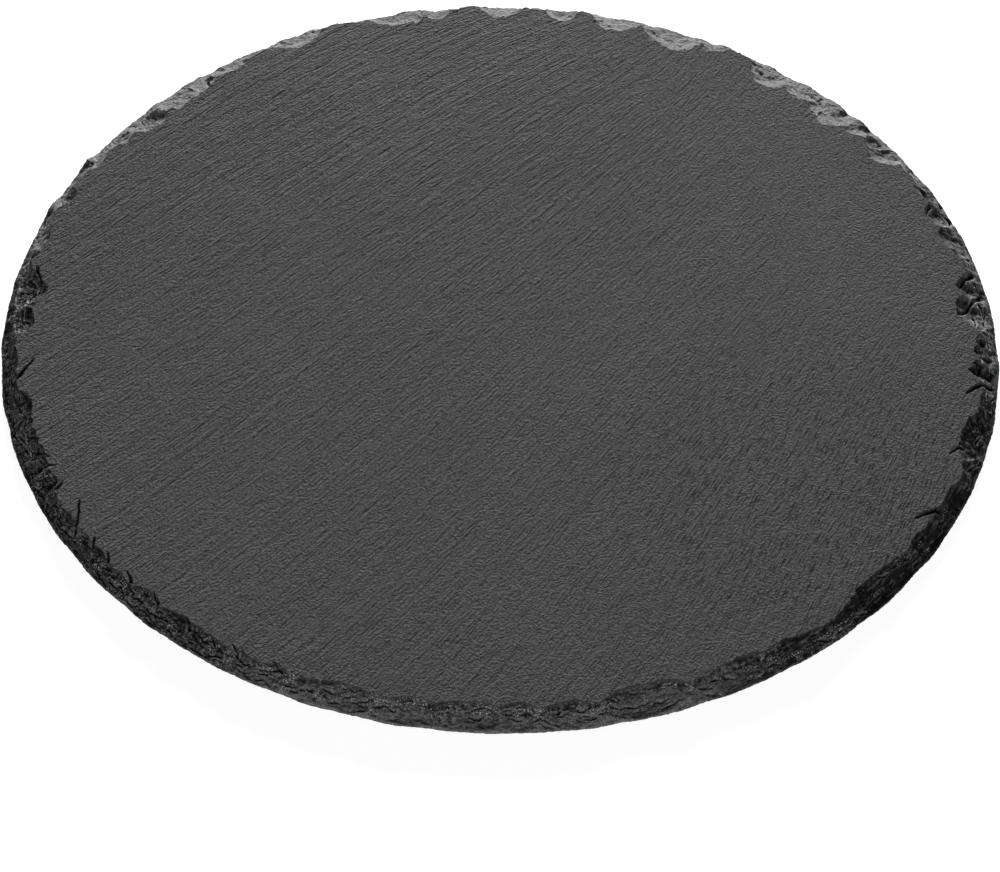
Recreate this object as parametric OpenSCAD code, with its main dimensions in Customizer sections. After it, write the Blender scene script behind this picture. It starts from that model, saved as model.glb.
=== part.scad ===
// Round slate serving board with a hammer-dressed edge, on four self-adhesive rubber feet.
// Millimetres, +Z up. The origin is the middle of the plane that the feet stand on.
// +X is to the right and +Y to the back when the board is looked at from the front.

/* [Slate] */
// Diameter of the board along its underside
board_d = 300; // [200:5:400]
// Thickness of the split slate
slate_t = 5; // [4:0.5:8]

/* [Dressed edge] */
// Usual distance from the outer wall in to the top face
dress_w = 5.5; // [4:0.5:8]
// Height of the steep outer wall that the dressing leaves
wall_h = 1.2; // [0.6:0.1:2]
// How far that wall leans in over its height
wall_lean = 0.5; // [0.2:0.1:1]
// Depth of the deepest flake, measured in from the usual edge of the top face
flake_depth = 8; // [2:0.5:10]
// How far the slope of the edge is hollowed, halfway up
scar_hollow = 0.4; // [0:0.1:0.8]
// Depth of the small nicks along the outer wall
nick_depth = 0.6; // [0:0.1:1.2]

/* [Feet] */
// Diameter of a rubber foot
foot_d = 16; // [10:1:24]
// Height of a rubber foot
foot_h = 2; // [1.5:0.5:6]
// Rounding of the lower edge of a foot
foot_round = 0.6; // [0.2:0.1:1]
// Distance from the outer wall in to the middle of a foot
foot_inset = 40; // [20:5:60]
// Diameter of the adhesive disc that holds a foot
adhesive_d = 14; // [8:1:22]
// Thickness of the adhesive disc
adhesive_t = 0.2; // [0.1:0.05:0.5]

/* [Hidden] */

// The feet stand on the diagonals
FRONT_RIGHT = -45;
BACK_RIGHT = 45;
BACK_LEFT = 135;
FRONT_LEFT = 225;

// Heights of the seats, from the standing plane up
adhesive_z = foot_h;
slate_z = adhesive_z + adhesive_t;
foot_circle_r = board_d / 2 - foot_inset;

// The edge is worked out at every degree round the board
edge_steps = 360;
round_steps = 96;

// Flakes knocked out of the top edge: direction in degrees, span in degrees,
// and depth as a percentage of the deepest flake
FLAKES = [
    [4.5, 6, 65], [8.5, 4, 48], [16.5, 5, 37], [21, 4, 40], [25, 3, 16],
    [33.5, 5, 68], [36, 3, 40], [39, 4, 43], [42.5, 6, 84], [45, 3, 75],
    [48.5, 7, 53], [53, 6, 91], [62.5, 3, 32], [67.5, 8, 84], [76, 6, 60],
    [82.5, 4, 50], [90.5, 5, 38], [99, 4, 36], [102, 3, 55], [104, 7, 52],
    [118, 6, 35], [127.5, 5, 28], [132.5, 4, 52], [136, 7, 54], [141.5, 6, 77],
    [146, 5, 24], [150.5, 5, 15], [158.5, 3, 12], [166.5, 4, 8], [175, 7, 68],
    [180, 5, 60], [187, 3, 58], [194, 4, 24], [202.5, 3, 34], [205.5, 4, 30],
    [211, 3, 58], [222.5, 3, 28], [227, 3, 38], [232.5, 3, 27], [236, 4, 8],
    [243.5, 4, 22], [253.5, 6, 12], [261.5, 7, 14], [267.5, 8, 22], [272, 5, 18],
    [278, 4, 17], [286.5, 9, 40], [298.5, 8, 18], [303, 4, 15], [318, 9, 20],
    [326, 4, 6], [329, 3, 50], [340, 3, 50], [343.5, 7, 35], [350.5, 4, 56],
    [354.5, 3, 34], [358, 4, 20]
];

// Teeth of the top face that reach out between the flakes: direction in degrees,
// span in degrees, and reach as a percentage of the dressed width
TEETH = [
    [59, 5, 25], [61, 3, 45], [80.5, 4, 22], [94, 4, 18], [112.5, 6, 22],
    [115, 3, 40], [155.5, 5, 15], [161.5, 5, 15], [170.5, 3, 18], [198, 5, 14],
    [291.5, 3, 34], [309.5, 8, 25], [337, 4, 22]
];

// Difference between two directions, from -180 to 180 degrees
function turn(a, b) = (a - b + 540) % 360 - 180;

// A rounded notch or tooth: 1 in the middle of its span, 0 at its ends
function arch(a, mark) = max(0, 1 - pow(2 * turn(a, mark[0]) / mark[1], 2));

// The strongest mark of a list in one direction, as a share of 1
function strongest(a, marks) = max([for (mark = marks) arch(a, mark) * mark[2] / 100]);

// Small nicks left by the tool, as a share of 1
function nick(a) = (2 + sin(37 * a + 40) + sin(59 * a + 110) * cos(11 * a)) / 4;

// Radius of the outer wall at the underside
function wall_r(a) = board_d / 2 - nick_depth * nick(a);

// Distance from the top of the outer wall in to the top face
function dressed(a) =
    dress_w - wall_lean + flake_depth * strongest(a, FLAKES) - dress_w * strongest(a, TEETH);

// Radii where the slope of the edge starts, halfway up and at the top face
function slope_foot_r(a) = wall_r(a) - wall_lean;
function slope_middle_r(a) = slope_foot_r(a) - dressed(a) / 2 - scar_hollow;
function slope_top_r(a) = slope_foot_r(a) - dressed(a);

slope_h = slate_t - wall_h;
slope_middle_z = wall_h + slope_h / 2;

// The edge runs on past both faces of the sheet, which then trims it flat
trim = 0.5;
function below_r(a) = wall_r(a) + wall_lean * trim / wall_h;
function above_r(a) =
    slope_top_r(a) - (slope_middle_r(a) - slope_top_r(a)) * trim / (slope_h / 2);

function edge_point(a, r, z) = [r * cos(a), r * sin(a), z];
function edge_ring(radii, z) = [
    for (i = [0 : edge_steps - 1]) edge_point(i * 360 / edge_steps, radii[i], z)
];

// Everything inside the dressed edge, taller than the sheet
module dressed_blank() {
    angles = [for (i = [0 : edge_steps - 1]) i * 360 / edge_steps];
    rings = [
        edge_ring([for (a = angles) below_r(a)], -trim),
        edge_ring([for (a = angles) slope_foot_r(a)], wall_h),
        edge_ring([for (a = angles) slope_middle_r(a)], slope_middle_z),
        edge_ring([for (a = angles) above_r(a)], slate_t + trim)
    ];
    last = len(rings) - 1;
    points = [for (ring = rings) each ring];
    sides = [
        for (k = [0 : last - 1], i = [0 : edge_steps - 1])
            let (
                j = (i + 1) % edge_steps,
                low = k * edge_steps,
                high = low + edge_steps
            )
            each [[low + i, high + i, low + j], [low + j, high + i, high + j]]
    ];
    underside = [for (i = [0 : edge_steps - 1]) i];
    top = [for (i = [edge_steps - 1 : -1 : 0]) last * edge_steps + i];
    polyhedron(points, concat(sides, [underside, top]), convexity = 4);
}

// The split sheet, cut to the dressed outline
module slate_board() {
    color("#4b4b4b")
        translate([0, 0, slate_z])
            intersection() {
                dressed_blank();
                cylinder(d = board_d + 2 * dress_w, h = slate_t, $fn = round_steps);
            }
}

// Places a piece under the slate in one direction
module on_foot_circle(direction) {
    translate([foot_circle_r * cos(direction), foot_circle_r * sin(direction), 0])
        children();
}

// A moulded rubber foot with a rounded lower edge
module foot(direction) {
    flat_r = foot_d / 2 - foot_round;
    color("#1c1c1d")
        on_foot_circle(direction)
            rotate_extrude($fn = round_steps)
                union() {
                    translate([0, foot_round])
                        square([foot_d / 2, foot_h - foot_round]);
                    square([flat_r, foot_round]);
                    intersection() {
                        translate([flat_r, foot_round])
                            circle(r = foot_round, $fn = round_steps);
                        translate([flat_r, 0])
                            square(foot_round);
                    }
                }
}

// The double-sided adhesive disc between a foot and the slate
module adhesive(direction) {
    color("#c9c5ba")
        on_foot_circle(direction)
            translate([0, 0, adhesive_z])
                cylinder(d = adhesive_d, h = adhesive_t, $fn = round_steps);
}

slate_board();
foot(FRONT_RIGHT);  // foot_front_right
foot(BACK_RIGHT);  // foot_back_right
foot(BACK_LEFT);  // foot_back_left
foot(FRONT_LEFT);  // foot_front_left
adhesive(FRONT_RIGHT);  // adhesive_front_right
adhesive(BACK_RIGHT);  // adhesive_back_right
adhesive(BACK_LEFT);  // adhesive_back_left
adhesive(FRONT_LEFT);  // adhesive_front_left
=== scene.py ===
# %% [markdown]
# # A round slate serving board
# The real board is one sheet of slate, split to about 5 mm and knocked round with a hammer, on four
# stick-on rubber feet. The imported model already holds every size, so it is loaded first as a fixed frame,
# and all that follows is modelled in its coordinates: metres, +Z up, +Y away from the viewer.

# %% Load the frame
import math

import bpy
import numpy as np
from mathutils import Matrix, Vector


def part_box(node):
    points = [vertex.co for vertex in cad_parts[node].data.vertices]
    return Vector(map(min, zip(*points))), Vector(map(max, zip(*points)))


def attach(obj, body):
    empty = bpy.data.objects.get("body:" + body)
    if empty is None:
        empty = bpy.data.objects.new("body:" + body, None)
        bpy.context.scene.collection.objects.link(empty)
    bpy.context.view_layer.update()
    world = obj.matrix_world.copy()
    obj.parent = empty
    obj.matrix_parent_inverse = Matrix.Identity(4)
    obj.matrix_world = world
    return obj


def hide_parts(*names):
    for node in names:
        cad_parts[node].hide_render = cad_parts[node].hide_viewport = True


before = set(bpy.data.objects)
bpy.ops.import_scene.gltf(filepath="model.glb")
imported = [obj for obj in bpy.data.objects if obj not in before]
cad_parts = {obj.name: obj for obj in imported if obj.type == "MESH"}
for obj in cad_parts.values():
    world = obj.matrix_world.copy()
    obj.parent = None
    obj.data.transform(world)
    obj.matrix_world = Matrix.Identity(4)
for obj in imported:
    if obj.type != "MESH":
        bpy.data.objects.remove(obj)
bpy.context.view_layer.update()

MM = 0.001
slate_low, slate_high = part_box("slate_board")
print("nodes:", sorted(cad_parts))

# %% [markdown]
# ## Sizes of the slate
# The slate is shaped in millimetres, with heights counted from its underside, and turned into metres at
# the very end. The thickness comes from the frame. The other sizes are the ones a slater would name: how
# wide the dressed edge is, how high the little wall under it stands, and how deep the deepest flake goes.

# %% Name the sizes
UNDERSIDE_Z = slate_low.z / MM
SLATE_T = (slate_high.z - slate_low.z) / MM
BOARD_R = 150.0
DRESS_W = 5.5
WALL_H = 1.2
WALL_LEAN = 0.5
FLAKE_DEPTH = 8.0
NICK_DEPTH = 0.6
EDGE_W = DRESS_W - WALL_LEAN
FOOT_DIRECTIONS = {"front_right": -45, "back_right": 45, "back_left": 135, "front_left": 225}
FOOT_CIRCLE_R = 110.0
FOOT_R = 8.0
print("slate from", round(UNDERSIDE_Z, 2), "mm up, thickness", round(SLATE_T, 2), "mm")

# %% [markdown]
# ## Noise that never changes
# Broken stone needs irregularity at many sizes. A small noise function keeps it in our hands: a hash of
# whole-number grid points gives each of them a slope, and smooth blending joins them. It works on whole
# arrays at once, and every run gives the same stone.

# %% Write the noise
HASH_X, HASH_Y, HASH_SEED, HASH_MIX = 374761393, 668265263, 1274126177, 1103515245
HASH_MASK = 0xFFFFFFFF


def noise(x, y, seed):
    """Smooth noise from about -1 to 1, with one bump or dip for each unit of length."""
    column, row = np.floor(x), np.floor(y)
    dx, dy = x - column, y - row
    column, row = column.astype(np.int64), row.astype(np.int64)

    def corner(right, up):
        key = ((column + right) * HASH_X + (row + up) * HASH_Y + seed * HASH_SEED) & HASH_MASK
        key = ((key ^ (key >> 13)) * HASH_MIX) & HASH_MASK
        angle = ((key ^ (key >> 16)) & 0xFFFF) * (2 * math.pi / 0x10000)
        return np.cos(angle) * (dx - right) + np.sin(angle) * (dy - up)

    blend_x = dx * dx * dx * (dx * (6 * dx - 15) + 10)
    blend_y = dy * dy * dy * (dy * (6 * dy - 15) + 10)
    low = corner(0, 0) * (1 - blend_x) + corner(1, 0) * blend_x
    high = corner(0, 1) * (1 - blend_x) + corner(1, 1) * blend_x
    return 1.5 * (low * (1 - blend_y) + high * blend_y)


def rise(value, low, high):
    """Goes smoothly from 0 at low to 1 at high."""
    share = np.clip((value - low) / (high - low), 0, 1)
    return share * share * (3 - 2 * share)


rng = np.random.default_rng(11)
print("noise at a few points:", np.round(noise(np.array([0.5, 3.2]), np.array([0.5, 7.7]), 1), 3))

# %% [markdown]
# ## The grain of the split
# Slate splits along one plane, and the split leaves fine scales that all run one way. On this board they run
# from near left to far right, swing steeper at the right, and fan out from a spot on the far edge.
# A direction field alone would stretch or squeeze the pattern, so the field is built as a complex function
# and integrated: its real part then counts millimetres along the grain and its imaginary part across it.
# Angles are in radians, and the turn and the bend of the grain are for each 100 mm.

# %% Set out the grain
GRAIN_ANGLE = 1.04
GRAIN_TURN = -0.06 + 0.03j
GRAIN_BEND = 0.07j
FAN_POINT = 50 + 146j
FAN_SHARE = 0.3
QUADRATURE = np.polynomial.legendre.leggauss(8)


def grain_slope(z):
    """The rate at which the grain's own coordinates change, as a complex number."""
    fan = -1j * FAN_SHARE * np.log(1j * (z - FAN_POINT) / abs(FAN_POINT))
    bend = GRAIN_ANGLE + GRAIN_TURN * z / 100 + GRAIN_BEND * (z / 100) ** 2 + fan
    return np.exp(-1j * bend)


def grain_coordinates(x, y):
    """Millimetres along and across the grain at points of the face."""
    z = x + 1j * y
    total = 0
    for place, weight in zip(*QUADRATURE):
        total = total + weight / 2 * grain_slope(z * (1 + place) / 2)
    total = total * z
    return total.real, total.imag


print("grain at the centre:", round(-math.degrees(np.angle(grain_slope(0j))), 1), "degrees")

# %% [markdown]
# ## The outline and its grid
# The face, the dressed edge, the wall and the underside are one skin of rings, like a lathe would make,
# but each point of a ring has its own radius. The grid is fine where the edge is broken, about 0.25 mm like
# the steps of the stone there, and coarser towards the middle. The outline stays a hair inside the packed
# solid's, so the board never grows.

# %% Draw the outline
COLUMNS = 3840
EDGE_CLEAR = 0.03
turn = np.arange(COLUMNS) * 2 * math.pi / COLUMNS
degrees = np.degrees(turn)
around_x, around_y = BOARD_R * np.cos(turn), BOARD_R * np.sin(turn)


def sine(angle):
    """Sine of an angle in degrees."""
    return np.sin(np.radians(angle))


def outline_noise(size, seed):
    """Noise round the outline, with bumps of a size in millimetres."""
    return noise(around_x / size, around_y / size, seed)


nick = (2 + sine(37 * degrees + 40) + sine(59 * degrees + 110) * sine(11 * degrees + 90)) / 4
wall_r = BOARD_R - NICK_DEPTH * nick - EDGE_CLEAR
ragged = 0.35 * np.abs(outline_noise(2.3, 3)) + 0.22 * np.abs(outline_noise(0.9, 4))
edge_r = wall_r - 0.25 * (1 + outline_noise(5.5, 2)) - ragged
MEAN_EDGE_R = float(edge_r.mean())
print("outline from", round(edge_r.min(), 2), "to", round(edge_r.max(), 2), "mm")

# %% [markdown]
# ## Knocking off the flakes
# A slater holds the sheet on an edge and strikes it all the way round. Each blow takes off a shell-shaped
# flake, so the scar is hollow, meets the face in a curved line and meets its neighbour in a sharp ridge.
# Cutting bowls with booleans would be slow and would leave torn meshes. A height map does it better:
# each scar is a formula for a bowl, and the stone keeps the lowest of them all.
# Each flake has its direction and width in degrees and its depth in percent of the deepest. Between
# flakes, teeth of the face are left standing, with their reach in percent of the dressed width.

# %% List the scars
FLAKES = [
    [4.5, 6, 65], [8.5, 4, 48], [16.5, 5, 37], [21, 4, 40], [25, 3, 16],
    [33.5, 5, 68], [36, 3, 40], [39, 4, 43], [42.5, 6, 84], [45, 3, 75],
    [48.5, 7, 53], [53, 6, 91], [62.5, 3, 32], [67.5, 8, 84], [76, 6, 60],
    [82.5, 4, 50], [90.5, 5, 38], [99, 4, 36], [102, 3, 55], [104, 7, 52],
    [118, 6, 35], [127.5, 5, 28], [132.5, 4, 52], [136, 7, 54], [141.5, 6, 77],
    [146, 5, 24], [150.5, 5, 15], [158.5, 3, 12], [166.5, 4, 8], [175, 7, 68],
    [180, 5, 60], [194, 4, 24], [200, 15, 16], [203.5, 3, 20], [206.5, 3, 28],
    [236, 4, 8], [253.5, 6, 12], [261.5, 7, 14], [267.5, 8, 22], [272, 5, 18],
    [278, 4, 17], [286.5, 9, 40], [298.5, 8, 18], [303, 4, 15], [318, 9, 20],
    [326, 4, 6], [343.5, 7, 35], [354.5, 3, 34], [358, 4, 20]
]
TEETH = [
    [59, 5, 25], [61, 3, 45], [80.5, 4, 22], [94, 4, 18], [112.5, 6, 22],
    [115, 3, 40], [155.5, 5, 15], [161.5, 5, 15], [170.5, 3, 18], [198, 5, 14],
    [291.5, 3, 34], [309.5, 8, 25], [337, 4, 22]
]
print(len(FLAKES), "flakes and", len(TEETH), "teeth")

# %% Lay out the rim
RIM_STEP = 0.25
NICK_FADE = 2.0
RIM_RINGS = 64
rim_ring_r = MEAN_EDGE_R - RIM_STEP * np.arange(RIM_RINGS + 1)


def ring_radii(ring_r, stride=1):
    """Radius at each column: the outline's nicks die away towards the middle."""
    share = np.exp((np.asarray(ring_r) - MEAN_EDGE_R) / NICK_FADE)
    return np.asarray(ring_r)[..., None] + (edge_r[::stride] - MEAN_EDGE_R) * share[..., None]


rim_r = ring_radii(rim_ring_r)
rim_x, rim_y = rim_r * np.cos(turn), rim_r * np.sin(turn)


def rim_noise(size, seed):
    """Noise on the rim, with bumps of a size in millimetres."""
    return noise(rim_x / size, rim_y / size, seed)


inset = np.maximum(MEAN_EDGE_R + 0.3 - rim_r, 0)
wobble_in = 0.45 * rim_noise(2.6, 5) + 0.2 * rim_noise(1.1, 6) + 0.6 * rim_noise(6, 42)
wobble_round = 0.5 * rim_noise(3.1, 7) + 0.2 * rim_noise(1.2, 8)
print("rim grid:", rim_r.shape)

# %% [markdown]
# ## Zones round the edge
# The edge broke in wide shells at the far side, crumbled at the near left, split glassy at the near right
# and is pitted or grey in places. At the far side the shells are painted pale as lit stone, partly pale dust
# and partly painted light. Zones are shares from 0 to 1, so one fades into the next.

# %% Mark the zones
def facing(direction, low, high):
    """Share of a zone that looks in a direction, from 0 at one cosine to 1 at another."""
    return rise(np.cos(np.radians(degrees - direction)), low, high)


far_side = rise(sine(degrees - 2), 0.25, 0.6)
near_side = rise(-sine(degrees + 2), 0.45, 0.85)
crumbly = facing(240, 0.45, 0.8)
# Crushed stone is partly pale dust and partly painted light: pale towards the lit far side, painted dark as
# shade where this share is low.
dust_and_painted_light = np.maximum(far_side, 0.8 * facing(270, 0.8, 0.95))
dust_and_painted_light = np.maximum(dust_and_painted_light, 0.8 * facing(154, 0.93, 0.99))
dust_and_painted_light = np.maximum(dust_and_painted_light, 0.35 * facing(8, 0.95, 0.99))
glassy = facing(322, 0.75, 0.95)
pitted = facing(172, 0.85, 0.95)
right_side = facing(355, 0.9, 0.98)
front = facing(266, 0.9, 0.97)
grey_side = facing(300, 0.95, 0.99)
print("crumbly share of the edge:", round(float(crumbly.mean()), 2))

# %% [markdown]
# ## The slope under the scars
# Before any flake is gone, the edge is a slope from the top of the little wall to the face. At the far side
# no break goes much below a bumpy ground. Its bumps are listed by direction and width in degrees and height
# in hundredths of a millimetre.

# %% Slope the edge
def apart(direction):
    """Signed distance in degrees from a direction to each column."""
    return (degrees - direction + 180) % 360 - 180


def strongest(marks):
    """The strongest mark of a list at each column, as a share of 1."""
    arches = [np.maximum(0, 1 - (2 * apart(a) / span) ** 2) * share / 100 for a, span, share in marks]
    return np.max(arches, axis=0)


BUMPS = [
    [40.5, 4, 130], [44.5, 4, 120], [48.5, 5, 100], [55, 4, 60], [61, 4, 150],
    [65, 4, 50], [69, 4, 80], [74, 4, 50], [80.5, 5, 80], [87, 4, 50],
    [93.5, 4, 70], [102, 5, 100], [108, 4, 50], [115.5, 4, 150], [118.5, 5, 140],
    [123, 4, 50], [127, 5, 80], [132.5, 4, 110], [138.5, 3, 100], [151, 4, 150],
    [160, 5, 180]
]
ground = 0.32 * rim_noise(3.5, 44) + 0.1 * rim_noise(1.2, 45)
ground = ground + 1.0 + strongest(BUMPS) + 0.12 * inset - 6 * (1 - rise(sine(degrees + 2), 0.2, 0.32))
wall_top = 0.7 * outline_noise(6, 9) + 0.35 * outline_noise(2, 10)
wall_top = WALL_H - 0.3 * far_side - 0.5 * glassy + wall_top * (1 - 0.5 * far_side)
wall_top = np.clip(wall_top, 0.45, 2.4) + 1.2 * strongest(TEETH)
slope_w = EDGE_W - 0.5 - DRESS_W * strongest(TEETH)
ripple = 0.6 * outline_noise(5, 12) + 0.3 * outline_noise(1.5, 13)
ripple = ripple + 0.8 * crumbly * outline_noise(2.4, 46)
slope_w = slope_w + ripple * (1 - 0.7 * np.maximum(glassy, front))
slope_in = np.maximum(inset + wobble_in * (0.6 - 0.35 * front), 0)
scar = wall_top + (SLATE_T - wall_top) * (slope_in / slope_w) ** (1.3 - 0.55 * near_side)
print("sloped edge", round(slope_w.min(), 1), "to", round(slope_w.max(), 1), "mm wide")


# %% Knock out the big flakes
def columns_near(direction, half_width):
    """Column numbers within a distance in millimetres of a direction."""
    middle = direction / 360 * COLUMNS
    reach = half_width / BOARD_R / (2 * math.pi) * COLUMNS
    return np.arange(math.floor(middle - reach), math.ceil(middle + reach) + 1) % COLUMNS


DEEP_FLAKE = 40


def knock_flake(direction, span, share):
    """Lowers the rim to one hollow scar that reaches a given depth into the face."""
    reach = EDGE_W + FLAKE_DEPTH * share / 100
    half = math.radians(span / 2) * BOARD_R
    deep = min(share / DEEP_FLAKE, 1)
    middle = int(direction / 360 * COLUMNS) % COLUMNS
    hollow = 1.15 + deep * rng.uniform(0, 0.5)
    floor_h = wall_top[middle] + deep * (rng.uniform(-0.5, 0.3) + 1.8 * pitted[middle])
    skew = rng.uniform(-0.3, 0.3)
    half = min(half / math.sqrt(1 - (EDGE_W / reach) ** hollow), 1.7 * half)
    near = columns_near(direction, 1.4 * half)
    jagged = 1 + crumbly[middle] - 1.5 * front[middle] + 0.6 * far_side[middle] + 0.8 * right_side[middle]
    into = np.maximum(inset[:, near] + jagged * wobble_in[:, near], 0)
    aside = np.radians(apart(direction)[near]) * BOARD_R + jagged * wobble_round[:, near]
    aside = aside - skew * (into - reach)
    bowl = floor_h + (SLATE_T - floor_h) * ((into / reach) ** hollow + (aside / half) ** 2)
    scar[:, near] = np.minimum(scar[:, near], bowl)


for flake in FLAKES:
    knock_flake(*flake)
print("scarred share of the rim:", round(float((scar < SLATE_T).mean()), 2))

# %% [markdown]
# ## Small chips
# Between and inside the big scars the stone is bruised into hundreds of small hollow chips. They follow no
# list: a seeded draw places them on the slope, tilts them and makes them a millimetre to a few wide.

# %% Scatter the chips
CHIPS = 3200
ARC_STEP = 2 * math.pi * BOARD_R / COLUMNS


def soften(field, times):
    """Blurs a rim grid a little, round the ring and across it."""
    for _ in range(times):
        field = (np.roll(field, 1, 1) + 2 * field + np.roll(field, -1, 1)) / 4
        padded = np.vstack([2 * field[:1] - field[1:2], field, 2 * field[-1:] - field[-2:-1]])
        field = (padded[:-2] + 2 * field + padded[2:]) / 4
    return field


flaked = np.clip(scar, ground, SLATE_T + 2)
scar = flaked.copy()
steady = soften(flaked, 6)
fall_in = np.clip(np.gradient(steady, RIM_STEP, axis=0), 0, 1.6)
fall_round = np.clip((np.roll(steady, -1, 1) - np.roll(steady, 1, 1)) / (2 * ARC_STEP), -0.8, 0.8)


def knock_chip():
    """Lowers the rim to one small hollow chip at a random place on the slope."""
    column = int(rng.integers(COLUMNS))
    fine, flat = max(crumbly[column], pitted[column]), far_side[column]
    smooth = max(glassy[column] * (1 - right_side[column]), 0.3 * right_side[column])
    deepest = np.searchsorted(flaked[:, column], SLATE_T)
    ring = min(int(rng.uniform(0, 0.92 - 0.22 * smooth) * deepest), RIM_RINGS - 1)
    size = rng.uniform(0.7, 1.0) * rng.choice([1.0, 1.7, 2.6, 3.8]) * (1 - 0.4 * fine + 0.6 * smooth)
    steep = rng.uniform(0.1, 0.3) * (1 - 0.7 * flat + 0.3 * smooth)
    depth = size * steep
    length, lean = rng.uniform(1.0, 2.0) * (1 + 0.9 * smooth), rng.uniform(-0.8, 0.8) * (1 + smooth)
    tilt_in = fall_in[ring, column] + steep * rng.uniform(-0.9, 0.9)
    tilt_round = fall_round[ring, column] + steep * rng.uniform(-0.9, 0.9)
    if flaked[ring, column] - scar[ring, column] > 0.9 - 0.5 * flat:
        return
    near = columns_near(degrees[column], (2 * length + 1.5) * size)
    reach = int(2 * size / RIM_STEP)
    rows = np.arange(max(ring - reach, 0), min(ring + reach, RIM_RINGS) + 1)
    block = np.ix_(rows, near)
    into = inset[block] - inset[ring, column] + 0.4 * wobble_in[block]
    aside = np.radians(apart(degrees[column])[near]) * BOARD_R + 0.4 * wobble_round[block]
    away = (into ** 2 + ((aside + lean * into) / length) ** 2) / size ** 2
    bowl = min(scar[ring, column], SLATE_T) + tilt_in * into + tilt_round * aside
    bowl = bowl + depth * (away + 0.4 * away ** 2 - 1)
    scar[block] = np.minimum(scar[block], bowl)


for _ in range(CHIPS):
    knock_chip()
chip_depth = 0.8 - 0.3 * far_side + 0.25 * rim_noise(2.5, 49)
scar = np.maximum(np.maximum(scar, flaked - chip_depth), ground - 0.3)
print("lowest point of the scars:", round(float(scar.min()), 2), "mm")

# %% [markdown]
# ## Cleavage steps, grit and cracks
# Broken across its grain, slate shows its leaves: scars break down in little treads and risers, with a
# last riser just under the face. Over that lies grit, and here and there a crack runs into the face at a
# slant, where a leaf was lifted but not knocked off.

# %% Add the leaves of the stone
LEAF_T = 0.7
below = SLATE_T - scar
last_riser = np.clip(0.3 + 0.2 * near_side + 0.4 * outline_noise(4, 14), 0.05, 0.8)
scar = scar * (1 - last_riser / SLATE_T * rise(below, 0.0, 0.2))
level = scar / LEAF_T + 0.6 * rim_noise(5, 15) + 0.3 * rim_noise(1.7, 16)
part = level - np.floor(level)
tread = np.clip((part - 0.5) * 3.5 + 0.5, 0, 1)
leafing = 0.3 * far_side + 0.35 * crumbly + 0.2 * rim_noise(9, 17)
scar = scar + np.maximum(leafing, 0) * LEAF_T * (tread - part)
grit = 0.2 * rim_noise(1.0, 18) + 0.15 * rim_noise(0.6, 19)
clumps = rise(rim_noise(6, 43), -0.2, 0.4)
grit = grit * (0.12 + 0.3 * far_side + 0.5 * crumbly * clumps + 0.5 * pitted)
scar = scar + grit * rise(SLATE_T - scar, 0.05, 0.4)
print("risers under the face:", round(float(last_riser.mean()), 2), "mm on average")

# %% Split the leaves apart
SLITS = 320
LOWEST_SLIT = 0.45


def open_slit():
    """Lowers the rim along one short gap between leaves, which runs along the edge at a slant."""
    column = int(rng.integers(COLUMNS))
    deepest = np.searchsorted(flaked[:, column], SLATE_T)
    ring = min(int(rng.uniform(0.1, 0.95) * deepest), RIM_RINGS - 1)
    length, width, depth = rng.uniform(2.0, 7.0), rng.uniform(0.4, 0.8), rng.uniform(0.5, 1.1)
    slant = rng.uniform(-0.3, 0.3)
    if rng.uniform() < max(0.95 * far_side[column], 0.5 * glassy[column]):
        return
    near = columns_near(degrees[column], length)
    into = inset[:, near] - inset[ring, column] + 1.1 * wobble_in[:, near]
    aside = np.radians(apart(degrees[column])[near]) * BOARD_R
    along = 2 * (aside * math.cos(slant) + into * math.sin(slant)) / length
    across = into * math.cos(slant) - aside * math.sin(slant)
    half = width / 2 * np.clip(1 - along ** 2, 0.001, 1)
    scar[:, near] -= depth * np.maximum(0, 1 - np.abs(across) / half)


for _ in range(SLITS):
    open_slit()
scar = np.maximum(scar, LOWEST_SLIT)
print("slits tried:", SLITS)

# %% Open the cracks
CRACKS = [
    [189.5, 145, 186.3, 139.2, 1.3], [201.5, 143.5, 203, 141.2, 0.8], [214, 145, 210.3, 139.3, 1.0],
    [198.8, 144, 199.8, 141.8, 0.9], [204, 143.5, 204.5, 140.6, 1.3], [207.8, 143.8, 207.2, 141, 1.2],
    [217.5, 144.5, 216.6, 142.6, 0.9], [220.5, 144.6, 219.3, 142.9, 0.8], [240.5, 145, 239.3, 143.6, 0.8],
    [224.5, 144.5, 223, 143, 0.9], [229, 144.7, 227.5, 142.5, 0.9], [234, 144.8, 232.8, 143, 0.9],
    [237.5, 145.3, 236.5, 144, 0.8], [246, 144.6, 244.5, 143.2, 0.9], [331, 144.3, 328.3, 140, 1.8],
    [341.5, 142.3, 339.7, 139.8, 1.2], [352.5, 146, 350, 139.7, 2.0], [171.5, 142.8, 174, 139.3, 1.1],
    [131.3, 144, 132, 140, 0.9], [22.7, 143.8, 21.3, 141, 0.9], [7, 146, 3.5, 139, 2.2],
    [10.5, 145.5, 8.2, 140.5, 2.2]
]
CRACK_DEPTH = 1.6


def polar_point(direction, r):
    """The point at a direction in degrees and a radius."""
    return np.array([r * math.cos(math.radians(direction)), r * math.sin(math.radians(direction))])


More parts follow.
